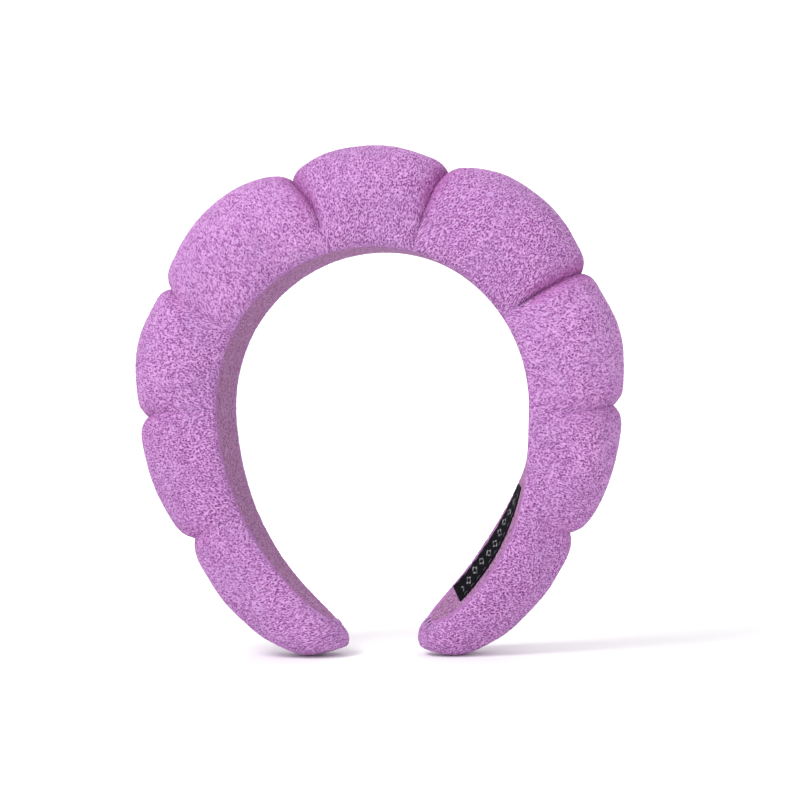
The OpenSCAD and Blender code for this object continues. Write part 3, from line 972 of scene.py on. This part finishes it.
def lobe_rings(side, i, s, h, y):
    """Points at shares s along lobe i, on planes that lean away from its cinches."""
    lean = [OPEN_TURN[k] / 2 + SPARE_TURN if 0 <= k < 4 else 0 for k in (i - 1, i)]
    if i == 0:
        lean[0] = lean[1]
    r = [HINGE_H + (ARM_R if f > 90 else HEAD_R) for f in (EDGES[i], EDGES[i + 1])]
    f0 = EDGES[i] + math.degrees(SPARE_GAP / r[0])
    f1 = EDGES[i + 1] - (math.degrees(SPARE_GAP / r[1]) if i < 4 else 0)
    turn = f0 + (f1 - f0) * s
    plane = np.radians(turn + lean[0] * (1 - s) - lean[1] * s)
    x0, z0, _, _ = hinge_line(turn)
    t = twist_at(side * np.maximum(turn, 0.1))
    up = (h - HINGE_H) * np.cos(t) - y * np.sin(t)
    deep = y * np.cos(t) + (h - HINGE_H) * np.sin(t)
    return np.stack([side * (x0 + up * np.sin(plane)), deep, z0 + up * np.cos(plane)], -1)


def build_foam(side, i):
    word = "right" if side > 0 else "left"
    body = "crown" if i == 0 else f"{word}_{SEGMENTS[i - 1]}"
    n = FOAM_RINGS
    s = (FOAM_END_S if i == 4 else 1) * (1 - np.cos(np.pi * np.arange(n + 1) / n)) / 2
    s = np.clip(s, FOAM_FIRST_S, 1 - FOAM_FIRST_S)[:, None]
    if i == 4:
        high, wide, air = tip_height(s), tip_depth(s), TIP_FOAM_AIR
    else:
        high, wide, air = arched(*LOBE_H[i], s), arched(*LOBE_Y[i], s), FOAM_AIR
    inwards = np.minimum(s, 1 - s) - FOAM_FIRST_S
    air = air + END_AIR * (1 - smooth(inwards / END_SHARE))
    turn = EDGES[i] + (EDGES[i + 1] - EDGES[i]) * s
    hem = np.minimum(lining_y(turn) - 1, 0.9 * (wide - air))
    angle = np.linspace(-np.pi, np.pi, 49)[None, :]
    base = FOAM_H + FOAM_EDGE
    h, y = section(high - air, wide - air, hem, base, angle)
    near_end = np.clip(np.minimum(np.arange(n + 1), np.arange(n + 1)[::-1]) / 2, 0, 1)
    pinch = (0.9 + 0.1 * near_end)[:, None]
    rings = lobe_rings(side, i, s, base + (h - base) * pinch, y * pinch)
    ob = tube(f"foam_{body}", rings if side < 0 else rings[:, ::-1])
    dress(ob, FOAM)
    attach(ob, body)
    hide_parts(f"{body}_foam")


def evenly(path, count):
    """That many points along a path, evenly spaced."""
    run = np.concatenate([[0], np.cumsum(np.linalg.norm(np.diff(path, axis=0), axis=1))])
    at = np.linspace(0, run[-1], count)
    return np.stack([np.interp(at, run, path[:, k]) for k in range(3)], -1)


# Distances of a cinch thread from the cover's outside, at the top and at the sides,
# half the width of its straight part, and its radius
CINCH_TOP, CINCH_SIDE, CINCH_HEM, CINCH_R = 4.2, 3.4, 10.0, 0.4


def build_cinch(span):
    i, side = abs(span.number) - 1, 1 if span.number > 0 else -1
    high, wide = LOBE_H[i][2] - CINCH_TOP, LOBE_Y[i][2] - CINCH_SIDE
    base, hem = FOAM_H + FOAM_EDGE, CINCH_HEM
    h, y = section(high, wide, hem, base, np.linspace(-np.pi, np.pi, 120))
    flat = np.linspace(hem, -hem, 22)[1:-1]
    path = place(
        side * CINCH_F[i],
        np.concatenate([h, np.full(len(flat), base)]),
        np.concatenate([y, flat]),
    )
    rings = thread_rings(evenly(path, 360), CINCH_R, closed=True)
    ob = tube(f"cinch_{span.name}", rings, closed=True)
    dress(ob, CINCH_THREAD)
    span.bend(ob)
    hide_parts(f"{'right' if side > 0 else 'left'}_cinch_{i + 1}")


build_foam(1, 0)
for i in range(1, 5):
    build_foam(1, i)
    build_foam(-1, i)
for span in SPANS:
    build_cinch(span)

# ---- Tip stitches and label ----------------------------------------------------------------

STITCH_PITCH, STITCH_R = 2.2, 0.4
STITCH_BEFORE, STITCH_AFTER = 0.9, 1.5  # degrees before and past the lining's end


def stitch(name, turns, ys, h, radius):
    """One stitch that rises from the cloth and goes back into it."""
    t = np.linspace(0, 1, 17)
    arch = np.sin(np.pi * t)
    path = place(
        turns[0] + (turns[1] - turns[0]) * t,
        h + radius * (0.9 - 1.6 * arch),
        ys[0] + (ys[1] - ys[0]) * t,
    )
    rings = thread_rings(path, radius, pitch=1.2)
    swell = (0.25 + 0.75 * arch**0.4)[:, None, None]
    return tube(name, path[:, None] + (rings - path[:, None]) * swell)


def build_tip_stitches(side):
    word = "right" if side > 0 else "left"
    turns = side * (LINING_END - STITCH_BEFORE), side * (LINING_END + STITCH_AFTER)
    parts = [
        stitch(f"tip_{word}_{k}", turns, (y, y + 0.3), 0.0, STITCH_R)
        for k, y in enumerate((-STITCH_PITCH, 0, STITCH_PITCH))
    ]
    ob = join(f"tip_stitches_{word}", parts)
    dress(ob, SEAM_THREAD)
    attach(ob, f"{word}_tip")
    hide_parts(f"{word}_tip_stitches")


LABEL_F1 = LABEL_F0 + math.degrees(LABEL_L / ARM_R)
LABEL_H, LABEL_T = -0.45, 0.35  # height of its face at the lining's edge, thickness
LABEL_ROWS, LABEL_COLUMNS, INK_DEPTH = 150, 50, 0.06

# Stitches in a row, millimetres from the label's side, degrees from its ends, radius
SEWN, SEWN_INSET, SEWN_MARGIN, SEWN_R = 12, 1.2, 1.0, 0.2

# Pitch of the diamonds and the millimetres that stand for 1 along and across them,
# then where their outline lies on that scale and its half width on it
MOTIF_PITCH, MOTIF_X, MOTIF_Y = 4.4, 1.5, 3.4
MOTIF_AT, MOTIF_LINE = 0.8, 0.2

# How far the row sways, and how far from the label's ends it stops
MOTIF_SWAY, MOTIF_END = 1.2, 3.0


def motif(u, v):
    """A swaying row of plain diamonds along the label, 0 to 1."""
    x = np.abs((u / MOTIF_PITCH) % 1 - 0.5) * MOTIF_PITCH
    y = np.abs(v + MOTIF_SWAY * np.sin(u * 0.31))
    ring = np.abs(x / MOTIF_X + y / MOTIF_Y - MOTIF_AT)
    worn = 0.55 + 0.45 * np.sin(u * 1.7 + 2.1 * v)
    on = worn * smooth((MOTIF_LINE - ring) / 0.12)
    return on * smooth((LABEL_L / 2 - MOTIF_END - np.abs(u - LABEL_L / 2)) / 0.5)


def label_height(turns, y):
    """Height of the label's face, which lies on the crowned lining."""
    return LABEL_H - LINING_CROWN * (1 - (y / lining_y(turns)) ** 2)


def build_label():
    turns = np.linspace(LABEL_F0, LABEL_F1, LABEL_ROWS)[:, None]
    y = LABEL_Y0 + LABEL_W * np.linspace(1, 0, LABEL_COLUMNS)[None, :]
    run = np.linspace(0, LABEL_L, LABEL_ROWS)[:, None]
    ripple = 0.06 * np.sin(run * 0.9 + 0.4 * y) + 0.05 * np.sin(run * 0.37 - 0.8 * y)
    ink = motif(run, y - LABEL_Y0 - LABEL_W / 2)
    face = label_height(turns, y) + ripple
    grid = place(turns, face - INK_DEPTH * ink, y)
    back = place(turns, face + LABEL_T, y)
    ob, inner = shell("label_tab", grid, back, frames_of(grid)[2], step=2)
    store(ob, "ink", np.concatenate([ink.ravel(), np.zeros(inner)]))
    dress(ob, LABEL)
    SPANS[-1].bend(ob)
    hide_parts("label")
    step = (LABEL_F1 - LABEL_F0 - 2 * SEWN_MARGIN) / SEWN
    parts = []
    for row, y0 in enumerate((LABEL_Y0 + SEWN_INSET, LABEL_Y0 + LABEL_W - SEWN_INSET)):
        for k in range(SEWN):
            f = LABEL_F0 + SEWN_MARGIN + (k + 0.2) * step
            h = float(label_height(f, y0))
            parts.append(stitch(f"s{row}_{k}", (f, f + 0.6 * step), (y0, y0), h, SEWN_R))
    ob = join("label_sewing", parts)
    dress(ob, LABEL_THREAD)
    SPANS[-1].bend(ob)
    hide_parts("label_stitches")


build_tip_stitches(1)
build_tip_stitches(-1)
build_label()

# ---- Stage, light and camera --------------------------------------------------------------

FLOOR_Z = cad_box[0][2] - 0.0005


def add_stage():
    """Pale floor that curves up into a backdrop."""
    bm = bmesh.new()
    radius, depth, width = 0.5, 1.6, 4.0
    profile = [(-3.0, 0.0), (depth, 0.0)]
    for k in range(1, 17):
        a = math.pi / 2 * k / 16
        profile.append((depth + radius * math.sin(a), radius * (1 - math.cos(a))))
    profile.append((depth + radius, 3.0))
    rows = [[bm.verts.new((x, y, FLOOR_Z + z)) for y, z in profile] for x in (-width, width)]
    for k in range(len(profile) - 1):
        bm.faces.new([rows[0][k], rows[1][k], rows[1][k + 1], rows[0][k + 1]])
    me = bpy.data.meshes.new("floor")
    bm.to_mesh(me)
    bm.free()
    me.shade_smooth()
    ob = bpy.data.objects.new("floor", me)
    bpy.context.collection.objects.link(ob)
    n = Nodes("floor")
    n.set(Base_Color=(0.95, 0.95, 0.95, 1), Roughness=0.9, Specular_IOR_Level=0.1)
    ob.data.materials.append(n.mat)


def add_light(name, at, target, size, power):
    light = bpy.data.lights.new(name, "AREA")
    light.shape = "DISK"
    light.size = size
    light.energy = power
    ob = bpy.data.objects.new(name, light)
    ob.location = at
    ob.rotation_euler = (Vector(target) - Vector(at)).to_track_quat("-Z", "Y").to_euler()
    bpy.context.collection.objects.link(ob)


def add_world(strength):
    world = bpy.data.worlds.new("studio")
    world.use_nodes = True
    background = world.node_tree.nodes["Background"]
    background.inputs["Color"].default_value = (1, 1, 1, 1)
    background.inputs["Strength"].default_value = strength
    bpy.context.scene.world = world


def add_camera(azimuth, elevation, roll, distance, aim, view_width):
    """Camera at an azimuth and elevation, aimed right and up of the origin by aim."""
    a, e = math.radians(azimuth), math.radians(elevation)
    back = Vector((math.sin(a) * math.cos(e), -math.cos(a) * math.cos(e), math.sin(e)))
    right = Vector((math.cos(a), math.sin(a), 0))
    up = back.cross(right)
    target = right * aim[0] + up * aim[1]
    data = bpy.data.cameras.new("camera")
    data.sensor_width = 36
    data.lens = 36 * distance / view_width
    data.clip_start = 0.01
    ob = bpy.data.objects.new("camera", data)
    turn = Matrix((right, up, back)).transposed() @ Matrix.Rotation(math.radians(roll), 3, "Z")
    ob.matrix_world = Matrix.Translation(target + back * distance) @ turn.to_4x4()
    bpy.context.collection.objects.link(ob)
    bpy.context.scene.camera = ob


bpy.context.scene.view_settings.view_transform = "Standard"
add_stage()
add_world(0.82)
add_light("key", (-0.9, -0.9, 1.5), (0, 0, 0), 0.8, 18)
add_light("fill", (0.2, -1.5, 0.5), (0, 0, 0), 1.2, 7)
add_light("backdrop", (0, 0.6, 0.9), (0, 1.9, 0.1), 1.5, 14)
add_camera(
    azimuth=9.4,
    elevation=0,
    roll=-1.5,
    distance=0.68,
    aim=(0.0089, 0.0018),
    view_width=0.309,
)
